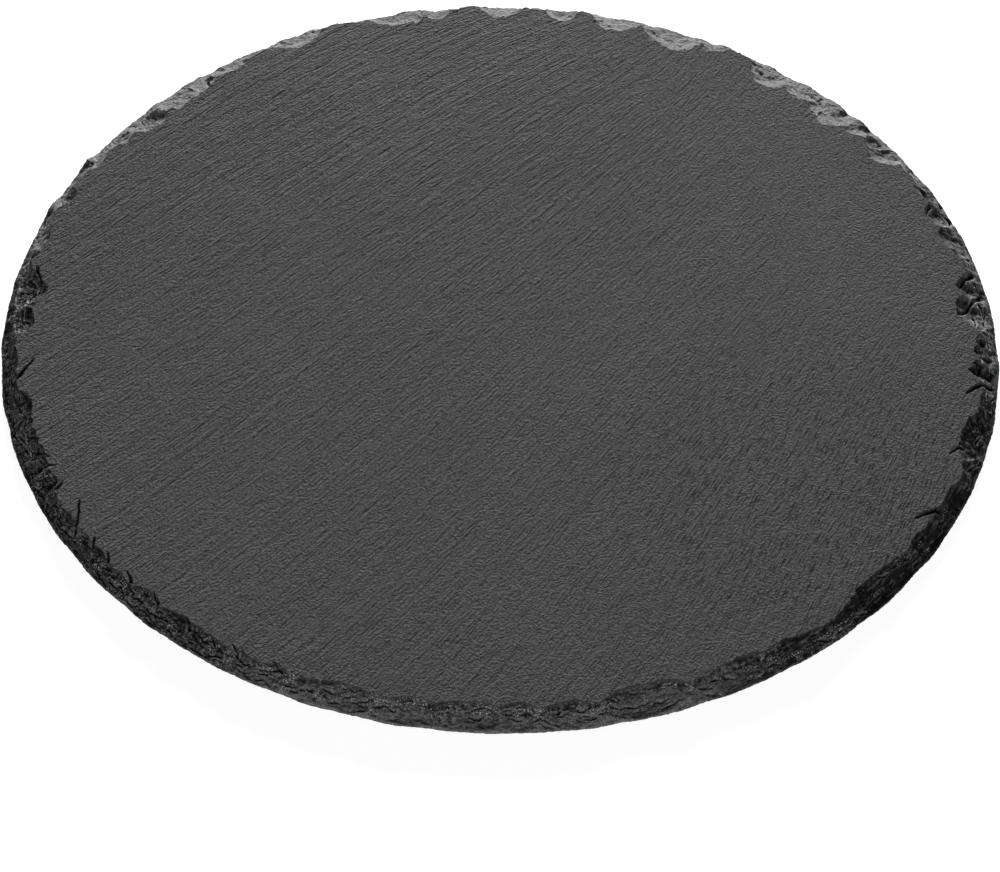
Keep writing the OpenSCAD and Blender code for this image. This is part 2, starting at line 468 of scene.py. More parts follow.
def open_crack(height, outer_deg, outer_r, inner_deg, inner_r, width):
    """Lowers a height map along a tapering groove."""
    start, end = polar_point(outer_deg, outer_r), polar_point(inner_deg, inner_r)
    way = end - start
    length = math.hypot(*way)
    way = way / length
    near = columns_near((outer_deg + inner_deg) / 2, length)
    along = ((rim_x[:, near] - start[0]) * way[0] + (rim_y[:, near] - start[1]) * way[1]) / length
    across = (rim_y[:, near] - start[1]) * way[0] - (rim_x[:, near] - start[0]) * way[1]
    across = across + 0.12 * length * (along - along ** 2) + 0.5 * wobble_in[:, near]
    half = width / 2 * (1 - 0.75 * np.clip(along, 0, 1))
    groove = np.maximum(0, 1 - np.abs(across) / half) ** 0.7
    groove = groove * rise(along, -0.3, 0.0) * (1 - rise(along, 0.8, 1.0))
    height[:, near] -= CRACK_DEPTH * groove * (1 - 0.6 * np.clip(along, 0, 1))


print(len(CRACKS), "cracks listed")

# %% [markdown]
# ## Relief of the face
# The face isn't flat. Low swells, ridges a few millimetres apart and rows of scales follow the grain. All
# that is wider than the grid is real relief in the mesh, and only the finest scales are left to the
# material. The relief goes down from the top of the sheet, so the board stays as thick as it should be.

# %% Shape the face
TICKED_X, TICKED_Y = 90.0, -60.0
TICKED_CORE, TICKED_REACH = 35, 80


def streak_share(x, y):
    """How streaky the face is: most at the far left, least at the right."""
    far = np.maximum(y, 0)
    share = 0.4 - 0.0015 * x + 0.004 * far + 0.001 * np.minimum(y, 0)
    return np.clip(share - 0.0001 * np.maximum(x - 30, 0) * far, 0, 1) / 0.75


def tick_share(x, y):
    """How many short dark ticks the face has: they lie near the right end."""
    return 1 - rise(np.hypot(x - TICKED_X, y - TICKED_Y), TICKED_CORE, TICKED_REACH)


def face_relief(x, y):
    """Depth of the face below the top of the sheet, as a negative height in millimetres."""
    along, across = grain_coordinates(x, y)
    across = across + 0.5 * noise(along / 14, across / 8, 20)
    swell = 0.06 * noise(along / 60, across / 16, 21)
    ridge = (0.05 + 0.08 * streak_share(x, y)) * noise(along / 28, across / 2.4, 22)
    scale = 0.08 * noise(along / 6, across / 1.4, 23)
    return np.minimum(swell + ridge + scale - 0.2, 0)


print("streaky share at the middle:", round(float(streak_share(0, 0)), 2))

# %% Cut the scars into the face
LOWEST_RIM = 0.4
face = SLATE_T + face_relief(rim_x, rim_y)
rim_h = np.minimum(face, scar)
for crack in CRACKS:
    open_crack(rim_h, *crack)
rim_h = np.maximum(rim_h, LOWEST_RIM)
print("relief of the face near the rim:", round(float(face.min() - SLATE_T), 2), "mm")

# %% [markdown]
# ## Bruises, painted highlights and painted shade
# Struck stone is pale where it stands out of a softened copy of the rim, and painted dark as shade where it
# lies below it. At the far side a painted highlight follows each scar, and elsewhere a painted shadow lies
# as a dark lip just under the face.

# %% Find the bruises and hollows
below = face - rim_h
scarred = rise(below, 0.03, 0.25)
sharp_height, ridge_height = rim_h - soften(rim_h, 3), rim_h - soften(rim_h, 12)
# A painted highlight: a pale line just under the face along the scars of the lit far side.
far_scar_highlight = rise(below, 0.02, 0.06) * (1 - rise(below, 0.08, 0.2)) * far_side
sharp_share = rise(sharp_height, 0.03, 0.1) * (1 - 0.6 * crumbly)
bruise_and_highlight = np.maximum(sharp_share, 0.6 * rise(ridge_height, 0.06, 0.25))
# The bruise share holds real bruises on struck ridges and the painted highlight along the far scars.
bruise_and_highlight = np.maximum(scarred * bruise_and_highlight * (1 - 0.5 * glassy * (1 - right_side)), 0.6 * far_scar_highlight)
# Painted shade: hollows below the softened rim are painted dark, and a painted shadow lies as a dark lip
# under the face edge away from the far side.
hollow_shade = rise(-ridge_height, 0.03, 0.18) * (1 - 0.8 * far_side)
lip_shadow = rise(below, 0.02, 0.08) * (1 - rise(below, 0.45, 0.9)) * (1 - far_side)
hollow_shade = np.maximum(hollow_shade, 0.85 * lip_shadow * rise(rim_noise(5, 47), -0.35, 0.2))
hollow_shade = hollow_shade * (1 - 0.4 * near_side * dust_and_painted_light * (1 - rise(rim_h, 1.0, 2.2)))
print("bruised share of the rim:", round(float(bruise_and_highlight.mean()), 3))

# %% [markdown]
# ## The skin of rings
# The rings run from the middle of the underside outwards, up the wall, over the broken edge and in to the
# middle of the face. Where a ring would get too crowded, the next one has half as many points, and three
# triangles bridge each pair of gaps. Every ring keeps its points together with what the material needs.

# %% Start the rings
PATCH_L, PATCH_W = 13, 3.5
rings = []


def add_ring(x, y, height, scar_share, bruise_highlight_share=0.0, hollow_shade_share=0.0, dust_and_light=1.0):
    """Keeps one ring of points with what the material needs to know about them."""
    stride = COLUMNS // len(x)
    along, across = grain_coordinates(x, y)
    grainy = np.maximum(crumbly, 0.55 * pitted)[::stride] * (0.5 + 0.5 * rise(height, 0.8, 3.0))
    patches = np.maximum(np.maximum(glassy, 0.5 * right_side), grey_side)[::stride]
    way_round = np.mod(np.arctan2(y, x) - math.pi / 2, 2 * math.pi) * BOARD_R
    patchy = noise(way_round / PATCH_L, (np.hypot(x, y) - height) / PATCH_W, 50)
    patchy = patchy + 0.3 * grey_side[::stride]
    grainy = np.maximum(grainy, 0.9 * patches * rise(patchy, 0.05, 0.35))
    # Pale crushed stone here is partly dust and partly painted light.
    pale_and_lit = dust_and_light * dust_and_painted_light[::stride]
    zero = np.zeros_like(x)
    rings.append(np.stack([
        x, y, UNDERSIDE_Z + height, along, across, streak_share(x, y), tick_share(x, y), grainy, pale_and_lit,
        zero + scar_share, zero + bruise_highlight_share, zero + hollow_shade_share
    ], axis=-1))


def add_round_ring(r, stride, height_of, scar_share=0.0):
    """Adds a ring of given mean radius that takes every stride-th column."""
    radii = ring_radii(r, stride)
    x, y = radii * np.cos(turn[::stride]), radii * np.sin(turn[::stride])
    add_ring(x, y, height_of(x, y), scar_share)


print("grey patches:", PATCH_L, "by", PATCH_W, "mm")

# %% Lay the underside
FOOT_MARGIN = 6.0
WIDEST_STRIDE = 32


def underside_relief(x, y):
    """Rough split of the underside, flat where a foot is stuck on."""
    along, across = grain_coordinates(x, y)
    rough = 0.1 * (1 + noise(along / 22, across / 3.5, 30)) + 0.04 * (1 + noise(along / 6, across / 1.6, 31))
    for direction in FOOT_DIRECTIONS.values():
        foot_x, foot_y = polar_point(direction, FOOT_CIRCLE_R)
        rough = rough * rise(np.hypot(x - foot_x, y - foot_y), FOOT_R, FOOT_R + FOOT_MARGIN)
    return rough


def stride_at(r, finest):
    """Column stride that keeps the points of a ring about as far apart as on the finest ring."""
    return min(finest * 2 ** max(0, math.floor(math.log2(MEAN_EDGE_R / r))), WIDEST_STRIDE)


UNDERSIDE_STEP, UNDERSIDE_R = 2.0, 145.0
OUTER_STEP = 1.2
for r in np.arange(UNDERSIDE_STEP, UNDERSIDE_R, UNDERSIDE_STEP):
    add_round_ring(r, stride_at(r, 4), underside_relief)
add_round_ring(UNDERSIDE_R + OUTER_STEP, 2, underside_relief, 0.3)
add_round_ring(UNDERSIDE_R + 2 * OUTER_STEP, 1, underside_relief, 0.6)
UNDERSIDE_RINGS = len(rings)
print("rings under the board:", UNDERSIDE_RINGS)

# %% Raise the wall and the rim
WALL_RINGS = 7
foot_of_wall = 0.08 * (1 + outline_noise(1.4, 32))
# Painted highlight: the foot of the wall at the left and right is painted pale as a rim of light, on top of
# random scuffs.
flank_rim_light = rise(np.abs(np.cos(turn)), 0.85, 0.97)
for k in range(WALL_RINGS):
    share = k / WALL_RINGS
    layer = 0.15 * np.abs(noise(around_x / 1.1 + 9 * k, around_y / 1.1, 33 + k))
    radius = wall_r - 0.7 * ragged * (1 - share) + (edge_r - wall_r) * share ** 1.3
    radius = radius - layer * math.sin(math.pi * share)
    height = foot_of_wall + (rim_h[0] - foot_of_wall) * share
    scuff_and_rim_light = 0.15 + 0.45 * rise(noise(around_x / 1.7 - 7 * k, around_y / 1.7, 48), 0.0, 0.5)
    scuff_and_rim_light = np.maximum(scuff_and_rim_light, flank_rim_light * (1 - share))
    add_ring(radius * np.cos(turn), radius * np.sin(turn), height, 1.0, scuff_and_rim_light, dust_and_light=0.6 + 0.4 * near_side)
for k in range(RIM_RINGS + 1):
    add_ring(rim_x[k], rim_y[k], rim_h[k], scarred[k], bruise_and_highlight[k], hollow_shade[k])
print("rings up to the face:", len(rings))

# %% Close the face
FACE_STEP = 0.75
for r in np.arange(rim_ring_r[-1] - FACE_STEP, FACE_STEP, -FACE_STEP):
    add_round_ring(r, stride_at(r, 2), lambda x, y: SLATE_T + face_relief(x, y))
print("rings in all:", len(rings), "points:", sum(len(ring) for ring in rings))


# %% Join the rings with faces
def bridge(first, second, start_first, start_second):
    """Faces between two rings that have as many points, or twice or half as many."""
    i = np.arange(min(first, second))
    j = (i + 1) % len(i)
    a, b = start_first, start_second
    if first == second:
        return np.stack([a + i, a + j, b + j, b + i], 1).tolist()
    if first < second:
        left, middle, right = b + 2 * i, b + 2 * i + 1, b + 2 * j
        parts = [[a + i, a + j, middle], [a + i, middle, left], [a + j, right, middle]]
    else:
        left, middle, right = a + 2 * i, a + 2 * i + 1, a + 2 * j
        parts = [[left, middle, b + i], [middle, b + j, b + i], [middle, right, b + j]]
    return [face for part in parts for face in np.stack(part, 1).tolist()]


def fan(count, start, tip, outwards):
    """Triangles from a middle point to its ring."""
    i = np.arange(count)
    j = (i + 1) % count
    tips = np.full(count, tip)
    order = [tips, start + j, start + i] if outwards else [start + i, start + j, tips]
    return np.stack(order, 1).tolist()


counts = [len(ring) for ring in rings]
starts = np.concatenate([[0], np.cumsum(counts)]).tolist()
faces = []
for k in range(len(rings) - 1):
    faces += bridge(counts[k], counts[k + 1], starts[k], starts[k + 1])
under_tip, top_tip = starts[-1], starts[-1] + 1
faces += fan(counts[0], starts[0], under_tip, True)
faces += fan(counts[-1], starts[-2], top_tip, False)
tips = np.stack([rings[0].mean(0), rings[-1].mean(0)])
points = np.concatenate(rings + [tips])
print("faces:", len(faces))


# %% Make the mesh
def mesh_piece(name, coordinates, face_list):
    """A smooth-shaded mesh object from points in metres and faces."""
    mesh = bpy.data.meshes.new(name)
    mesh.from_pydata(coordinates, [], face_list)
    mesh.shade_smooth()
    piece = bpy.data.objects.new(name, mesh)
    bpy.context.scene.collection.objects.link(piece)
    return piece


def keep_values(mesh, name, values):
    """Stores one number per point for the material."""
    store = mesh.attributes.new(name, "FLOAT", "POINT")
    store.data.foreach_set("value", np.ascontiguousarray(values, dtype=np.float32))


SHARES = [
    "grain_along", "grain_across", "streaky", "ticked", "grainy", "dust_and_painted_light", "scarred", "bruise_and_highlight", "hollow_shade"
]
slate = mesh_piece("riven_slate", (points[:, :3] * MM).tolist(), faces)
for place, name in enumerate(SHARES, 3):
    keep_values(slate.data, name, points[:, place])
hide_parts("slate_board")
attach(slate, "root")
print("slate:", len(slate.data.vertices), "points")

# %% [markdown]
# ## A flat map of the skin
# A map is needed wherever the finish is baked to a picture. Unwrapping half a million faces is slow, and the
# skin is already a stack of rings, so the map is written directly: the face, the broken edge and the wall
# become one large disc and the underside a small one beside it. Each disc has its middle and its radius.

# %% Write the map
TOP_MAP = (0.41, 0.41, 0.40)
UNDER_MAP = (0.83, 0.83, 0.165)
ring_no = np.repeat(np.arange(len(rings)), counts)
ring_mean = np.array([
    np.column_stack([np.hypot(ring[:, 0], ring[:, 1]), ring[:, 2]]).mean(0) for ring in rings
])
steps = np.hypot(*np.diff(ring_mean, axis=0).T)
walked = np.concatenate([[0], np.cumsum(steps)])
under = ring_no < UNDERSIDE_RINGS
top_share = (walked[-1] - walked[ring_no]) / (walked[-1] - walked[UNDERSIDE_RINGS])
under_share = walked[ring_no] / walked[UNDERSIDE_RINGS - 1]
around = np.arctan2(points[:-2, 1], points[:-2, 0])
map_r = np.where(under, UNDER_MAP[2] * under_share, TOP_MAP[2] * top_share)
map_u = np.where(under, UNDER_MAP[0], TOP_MAP[0]) + map_r * np.cos(around)
map_v = np.where(under, UNDER_MAP[1], TOP_MAP[1]) + map_r * np.sin(around)
tips_u, tips_v = [UNDER_MAP[0], TOP_MAP[0]], [UNDER_MAP[1], TOP_MAP[1]]
map_uv = np.stack([np.append(map_u, tips_u), np.append(map_v, tips_v)], 1)
corner_points = np.empty(len(slate.data.loops), dtype=np.int32)
slate.data.loops.foreach_get("vertex_index", corner_points)
uv_map = slate.data.uv_layers.new(name="OFBake")
uv_map.uv.foreach_set("vector", map_uv[corner_points].astype(np.float32).ravel())
print("map drawn for", len(corner_points), "corners")

# %% [markdown]
# ## Helpers for materials
# Colours are written as sRGB hex values, as a colour picker shows them, and one function turns them to the
# linear values that Blender calculates with. One more adds a node, sets its properties and fills its
# sockets, in order or by name.

# %% Write the material helpers
def linear(hex_colour):
    """Linear colour with alpha from an sRGB hex value."""
    channels = [int(hex_colour[k:k + 2], 16) / 255 for k in (1, 3, 5)]
    curve = [c / 12.92 if c <= 0.04045 else ((c + 0.055) / 1.055) ** 2.4 for c in channels]
    return (*curve, 1.0)


def add_node(tree, kind, *values, output=None, sockets=None, **settings):
    """Adds one node with its settings, values and links, and gives its first or its named output."""
    node = tree.nodes.new("ShaderNode" + kind)
    for name, value in settings.items():
        setattr(node, name, value)
    filled = list(zip([socket for socket in node.inputs if socket.enabled], values))
    filled += [(node.inputs[name], value) for name, value in (sockets or {}).items()]
    for socket, value in filled:
        if isinstance(value, bpy.types.NodeSocket):
            tree.links.new(value, socket)
        else:
            socket.default_value = value
    offered = [socket for socket in node.outputs if socket.enabled and output in (None, socket.name)]
    return offered[0] if offered else None


def new_material(name):
    """An empty node material and its tree."""
    material = bpy.data.materials.new(name)
    material.use_nodes = True
    material.node_tree.nodes.clear()
    return material, material.node_tree


print("slate grey is", [round(c, 3) for c in linear("#4b4b4b")])

# %% [markdown]
# ## Riven slate
# Slate is clay pressed into mica leaves, split along them and left as it splits. Dry, it is a matt dark grey
# with hardly any shine, and what the eye sees is the relief: long streaks and short scales along the grain,
# each with a lit and a shaded side, fine grains between them, and a few dark ticks at the right. The low
# places of grains and scales also get painted shade. Where the edge was struck, the crushed stone is gritty,
# partly pale dust and partly painted light: pale at the lit far side and painted dark as shade elsewhere,
# with pits painted dark as shade, pale specks that are partly crushed grains and partly painted glints, and
# light threads between leaves.
# The face takes its patterns along the grain that the mesh keeps, and the edge takes them round the board
# and down its slope, so nothing is stretched on the steep wall.

# %% Find the place on the stone
riven_slate, tree = new_material("riven_slate")
share_of = {name: add_node(tree, "Attribute", output="Fac", attribute_name=name) for name in SHARES}
grain = add_node(tree, "CombineXYZ", share_of["grain_along"], share_of["grain_across"])
metres = add_node(tree, "TexCoord", output="Object")
place = add_node(tree, "VectorMath", metres, 1 / MM, operation="SCALE")
flat_place = add_node(tree, "VectorMath", place, (1, 1, 0), operation="MULTIPLY")
radius_out = add_node(tree, "VectorMath", flat_place, operation="LENGTH")
outwards = add_node(tree, "VectorMath", flat_place, operation="NORMALIZE")
on_edge = add_node(tree, "VectorMath", outwards, BOARD_R, operation="SCALE")
height_up = add_node(tree, "SeparateXYZ", place, output="Z")
drop = add_node(tree, "Math", radius_out, height_up, operation="SUBTRACT")
down_slope = add_node(tree, "CombineXYZ", 0, 0, drop)
edge = add_node(tree, "VectorMath", on_edge, down_slope, operation="ADD")
print("coordinates:", len(tree.nodes), "nodes")

# %% [markdown]
# ## Patterns of the stone
# A row gives the coordinates, their dimensions, the size of a cell in millimetres, detail and roughness.
# Real scales, grains and grit are finer than half a millimetre. From a metre away that is too fine to show,
# so they are drawn about twice as coarse.

# %% Draw the patterns
PATTERNS = {
    "streaks": (grain, "2D", (20, 1.7, 1), 2, 0.95),
    "scales": (grain, "2D", (3, 0.7, 1), 1, 1),
    "ticks": (grain, "2D", (5.5, 0.5, 1), 1, 0.5),
    "grains": (place, "3D", [0.75] * 3, 1, 1),
    "mottle": (place, "3D", [30] * 3, 2, 0.5),
    "clouds": (place, "3D", [5] * 3, 1, 0.5),
    "grit": (place, "3D", [0.9] * 3, 2, 0.9),
    "glint_specks": (place, "3D", [0.45] * 3, 1, 0.5),
    "shaded_pits": (edge, "3D", (3.5, 3.5, 1.2), 2, 0.6),
    "threads": (edge, "3D", (6, 6, 0.9), 1, 0.5)
}
pattern = {}
for name, (coordinates, dimensions, cell, detail, roughness) in PATTERNS.items():
    cells = add_node(tree, "VectorMath", coordinates, [1 / size for size in cell], operation="MULTIPLY")
    pattern[name] = add_node(tree, "TexNoise", cells, 1, detail, roughness, noise_dimensions=dimensions)
print("patterns:", ", ".join(pattern))

# %% [markdown]
# ## Marks of the stone
# A mark is where a pattern runs high or low. A row gives the pattern, two of its values and the mark's
# strength at both, then the share of the mesh that says where such marks lie, and their weight where that
# share is 0 and where it is 1.

# %% Pick out the marks
MARKS = {
    "ticks": ("ticks", (0.63, 0.71, 0, 1), "ticked", (0.1, 1)),
    # Pits on the scars are painted dark as shade.
    "shaded_pits": ("shaded_pits", (0.38, 0.46, 0.85, 0), "dust_and_painted_light", (1, 0.35)),
    "threads": ("threads", (0.57, 0.65, 0, 0.7), "dust_and_painted_light", (1, 0)),
    # Pale specks, partly crushed grains and partly painted glints.
    "glint_specks": ("glint_specks", (0.56, 0.66, 0, 1), "grainy", (0, 1)),
    # Painted shade in the low places of the scales.
    "scale_low_shade": ("scales", (0.28, 0.5, 0.45, 0), "streaky", (1, 0.2))
}
mark = {}
for name, (source, strength, share, weight) in MARKS.items():
    strong = add_node(tree, "MapRange", pattern[source], *strength)
    wanted = add_node(tree, "MapRange", share_of[share], 0, 1, *weight)
    mark[name] = add_node(tree, "Math", strong, wanted, operation="MULTIPLY")
print("marks:", ", ".join(mark))

# %% [markdown]
# ## Fine relief
# The bump adds what is finer than the mesh, with heights in millimetres: streaks, scales, grains and ticks
# on the face, and on the scars grit, roughest at the far side, with pits sunk into it.

# %% Raise the fine relief
STREAK_DEPTH, TICK_DEPTH, PIT_DEPTH = 0.95, -0.15, -0.3
TO_NEAR_RIGHT = (0.6, -0.8, 0)
near_right = add_node(tree, "VectorMath", place, TO_NEAR_RIGHT, operation="DOT_PRODUCT")
grain_depth = add_node(tree, "MapRange", near_right, 20, 90, 0.85, 0.6)
scale_depth = add_node(tree, "MapRange", share_of["streaky"], 0.4, 0.85, 0.32, 0.75)
streak_weight = add_node(tree, "MapRange", share_of["streaky"], 0, 1, 0.1, 1.45)
streak_depth = add_node(tree, "Math", streak_weight, STREAK_DEPTH, operation="MULTIPLY")
face_height = 0
for source, depth in [
    (pattern["streaks"], streak_depth), (pattern["scales"], scale_depth),
    (pattern["grains"], grain_depth), (mark["ticks"], TICK_DEPTH)
]:
    face_height = add_node(tree, "Math", source, depth, face_height, operation="MULTIPLY_ADD")
roughened = add_node(tree, "Math", share_of["grainy"], share_of["dust_and_painted_light"], operation="MAXIMUM")
grit_depth = add_node(tree, "MapRange", roughened, 0, 1, 0.2, 0.5)
far_weight = add_node(tree, "MapRange", share_of["dust_and_painted_light"], 0.86, 1, 1, 2.2)
grit_depth = add_node(tree, "Math", grit_depth, far_weight, operation="MULTIPLY")
scar_height = add_node(tree, "Math", pattern["grit"], grit_depth, operation="MULTIPLY")
scar_height = add_node(tree, "Math", mark["shaded_pits"], PIT_DEPTH, scar_height, operation="MULTIPLY_ADD")
height = add_node(tree, "Mix", share_of["scarred"], face_height, scar_height, data_type="FLOAT")
bump = add_node(tree, "Bump", sockets={"Height": height, "Distance": MM})
print("relief:", len(tree.nodes), "nodes")

# %% [markdown]
# ## Colours of the stone
# Colours are laid over each other like thin washes, each with its own share. Low places between grains and
# scales get painted shade, and ticks are nearly black. Crushed stone is partly pale dust and partly painted
# light: pale at the lit far side and painted dark as shade elsewhere. Pale specks on it are partly crushed
# grains and partly painted glints, and pits are painted dark as shade. Struck ridges are paler still, with a
# painted highlight along the far scars and on the foot of the wall at the left and right, and hollows get
# painted shade, almost black.

# %% Weigh the washes
WASHES = {
    "ticks": (mark, 0.7), "bruise_and_highlight": (share_of, 0.8), "hollow_shade": (share_of, 0.85),
    "grainy": (share_of, 0.8), "dust_and_painted_light": (share_of, 0.25)
}
wash = {}
for name, (source, strength) in WASHES.items():
    wash[name] = add_node(tree, "Math", source[name], strength, operation="MULTIPLY")
# Painted shade in the low places of the grains.
grain_low_shade = add_node(tree, "MapRange", pattern["grains"], 0.3, 0.6, 0.45, 0)
# The grit's low points are painted dark as shade, and its crests pale.
grit_light = add_node(tree, "MapRange", pattern["grit"], 0.38, 0.64)
grit_share = add_node(tree, "Math", wash["grainy"], wash["dust_and_painted_light"], operation="MAXIMUM")
clouds = add_node(tree, "MapRange", pattern["clouds"], 0.4, 0.6, 0.2, 1)
# Pale specks, partly crushed grains and partly painted glints, gathered in clouds.
glint_specks = add_node(tree, "Math", mark["glint_specks"], clouds, operation="MULTIPLY")
print("washes:", ", ".join(wash))

# %% Layer the colours
# Crushed stone and its grit: partly pale dust, partly painted light, pale at the lit far side and painted
# dark as shade elsewhere.
pale_grit_lit = add_node(tree, "Mix", share_of["dust_and_painted_light"], linear("#565656"), linear("#727272"), data_type="RGBA")
shaded_grit = add_node(tree, "Mix", grit_light, linear("#181818"), pale_grit_lit, data_type="RGBA")
crushed_light_and_shade = add_node(tree, "Mix", share_of["dust_and_painted_light"], linear("#242424"), linear("#7e7e7e"), data_type="RGBA")
for share, colour in [
    (grit_share, shaded_grit), (glint_specks, linear("#c4c4c2")),
    (mark["threads"], linear("#5e5e5e")), (mark["shaded_pits"], linear("#0c0c0c"))
# Pits painted dark as shade.
]:
    crushed_light_and_shade = add_node(tree, "Mix", share, crushed_light_and_shade, colour, data_type="RGBA")
stone = add_node(tree, "Mix", pattern["mottle"], linear("#4b4b4b"), linear("#535354"), data_type="RGBA")
for share, colour in [
    # Painted shade in the lows of grains and scales and in the hollows; the bruise share also holds painted
    # highlights.
    (grain_low_shade, linear("#2c2c2c")), (mark["scale_low_shade"], linear("#2c2c2c")),
    (wash["ticks"], linear("#161616")), (share_of["scarred"], crushed_light_and_shade),
    (wash["bruise_and_highlight"], linear("#8c8c8a")), (wash["hollow_shade"], linear("#101010"))
]:
    stone = add_node(tree, "Mix", share, stone, colour, data_type="RGBA")
stone_roughness = add_node(tree, "MapRange", pattern["scales"], 0, 1, 0.62, 0.78)
shader = add_node(tree, "BsdfPrincipled", sockets={
    "Base Color": stone, "Roughness": stone_roughness, "IOR": 1.55, "Specular IOR Level": 0.02,
    "Normal": bump
})
add_node(tree, "OutputMaterial", shader)
slate.data.materials.append(riven_slate)
print("riven slate:", len(tree.nodes), "nodes")

# %% [markdown]
# ## Rubber feet
# Each foot is a moulded rubber button with a rounded lower edge and a shallow dish underneath that helps it
# grip. A profile turned round its axis makes it, as on a lathe. Rubber is dark and soft: it scatters light,
# with a fine satin grain from the mould.

# %% Turn a profile
TURN_STEPS = 72


def turned_piece(name, profile, centre):
    """A closed solid of revolution: the profile runs from the axis below to the axis above."""
    ring_turn = np.arange(TURN_STEPS) * 2 * math.pi / TURN_STEPS
    centre_x, centre_y = centre
    rows = profile[1:-1]
    solid = [
        (centre_x + r * math.cos(angle), centre_y + r * math.sin(angle), z)
        for r, z in rows for angle in ring_turn
    ]
    solid += [(centre_x, centre_y, profile[0][1]), (centre_x, centre_y, profile[-1][1])]
    sides = []
    for k in range(len(rows) - 1):
        sides += bridge(TURN_STEPS, TURN_STEPS, k * TURN_STEPS, (k + 1) * TURN_STEPS)
    sides += fan(TURN_STEPS, 0, len(rows) * TURN_STEPS, True)
    sides += fan(TURN_STEPS, (len(rows) - 1) * TURN_STEPS, len(rows) * TURN_STEPS + 1, False)
    return mesh_piece(name, [tuple(MM * value for value in point) for point in solid], sides)


def arc(centre_r, centre_z, radius, first, last, steps=6):
    """Points of an arc in a profile, by its angles in degrees."""
    angles = [math.radians(first + (last - first) * k / steps) for k in range(steps + 1)]
    return [(centre_r + radius * math.cos(a), centre_z + radius * math.sin(a)) for a in angles]


print("an arc has", len(arc(0, 0, 1, -90, 0)), "points")

# %% Mould the rubber
BUMP_DEPTH = 0.02


def plain_material(name, grain, tint, colours, roughness, ior, specular):
    """A plain material from the sizes in millimetres and the detail of its fine grain and of its tint."""
    material, tree = new_material(name)
    metres = add_node(tree, "TexCoord", output="Object")
    fine, slow = [
        add_node(tree, "TexNoise", metres, 1 / (size * MM), detail) for size, detail in (grain, tint)
    ]
    height = add_node(tree, "Math", fine, BUMP_DEPTH, operation="MULTIPLY")
    bump = add_node(tree, "Bump", sockets={"Height": height, "Distance": MM})
    colour = add_node(tree, "Mix", slow, *[linear(value) for value in colours], data_type="RGBA")
    dullness = add_node(tree, "MapRange", fine, 0, 1, *roughness)
    shader = add_node(tree, "BsdfPrincipled", sockets={
        "Base Color": colour, "Roughness": dullness, "Normal": bump,
        "IOR": ior, "Specular IOR Level": specular
    })
    add_node(tree, "OutputMaterial", shader)
    return material


moulded_rubber = plain_material(
    "moulded_rubber", (0.3, 1), (4, 2), ("#19191a", "#222223"), (0.55, 0.75), 1.52, 0.4
)
print("rubber:", len(moulded_rubber.node_tree.nodes), "nodes")

# %% Press the feet
FOOT_H, FOOT_ROUND, FOOT_TOP_ROUND = 2.0, 0.6, 0.15
DISH_R, DISH_H = 5.2, 0.35
foot_profile = [(0, DISH_H), (DISH_R * 0.5, DISH_H * 0.9), (DISH_R * 0.85, DISH_H * 0.4), (DISH_R, 0.0)]
foot_profile += arc(FOOT_R - FOOT_ROUND, FOOT_ROUND, FOOT_ROUND, -90, 0)
foot_profile += arc(FOOT_R - FOOT_TOP_ROUND, FOOT_H - FOOT_TOP_ROUND, FOOT_TOP_ROUND, 0, 90, 3)
foot_profile += [(FOOT_R * 0.5, FOOT_H), (0, FOOT_H)]
for where, direction in FOOT_DIRECTIONS.items():
    foot = turned_piece(f"rubber_foot_{where}", foot_profile, polar_point(direction, FOOT_CIRCLE_R))
    foot.data.materials.append(moulded_rubber)
    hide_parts(f"foot_{where}")
    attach(foot, "root")
print("feet:", len(FOOT_DIRECTIONS), "of height", FOOT_H, "mm")

# %% [markdown]
# ## Adhesive discs
# Between each foot and the slate lies a disc of double-sided adhesive, a cream-coloured film of fleece and
# glue whose rim is squeezed out a little. It gives the eye a dull pale line, only 0.2 mm high, and it is
# what joins the foot to the stone. A plain material with a grain of fibres is enough.

# %% Lay the adhesive
FILM_R, FILM_T = 7.0, 0.2
adhesive_film = plain_material(
    "adhesive_film", (0.6, 2), (0.6, 2), ("#bdb8a8", "#d3cfc4"), (0.45, 0.6), 1.47, 0.5
)
film_profile = [(0, FOOT_H), (FILM_R * 0.6, FOOT_H)]
film_profile += arc(FILM_R - FILM_T / 2, FOOT_H + FILM_T / 2, FILM_T / 2, -90, 90)
film_profile += [(FILM_R * 0.6, FOOT_H + FILM_T), (0, FOOT_H + FILM_T)]
for where, direction in FOOT_DIRECTIONS.items():
    film = turned_piece(f"adhesive_disc_{where}", film_profile, polar_point(direction, FOOT_CIRCLE_R))
    film.data.materials.append(adhesive_film)
    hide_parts(f"adhesive_{where}")
    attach(film, "root")
print("adhesive discs:", len(FOOT_DIRECTIONS), "of thickness", FILM_T, "mm")

# %% [markdown]
# ## Floor and surroundings
# The board stands on a plain white floor. Seen directly, the floor gives off a little light of its own, so
# it comes out white and still keeps the board's shadow. For light that bounces it is a dim grey, because a
# bright floor would wash out the slate's dark edge.

# %% Build the floor
FLOOR_HALF = 6.0
GLOW = 0.88
WHITE = (1, 1, 1, 1)
floor_corners = [(x * FLOOR_HALF, y * FLOOR_HALF, 0) for x, y in [(-1, -1), (1, -1), (1, 1), (-1, 1)]]
floor = mesh_piece("floor", floor_corners, [(0, 1, 2, 3)])
white_paper, tree = new_material("white_paper")


def seen_directly(tree):
    """A share that is 1 for rays from the camera, from gloss and through glass."""
    seen = 0
    for ray in ("Is Camera Ray", "Is Glossy Ray", "Is Transmission Ray"):
        kind = add_node(tree, "LightPath", output=ray)
        seen = add_node(tree, "Math", kind, seen, operation="MAXIMUM")
    return seen


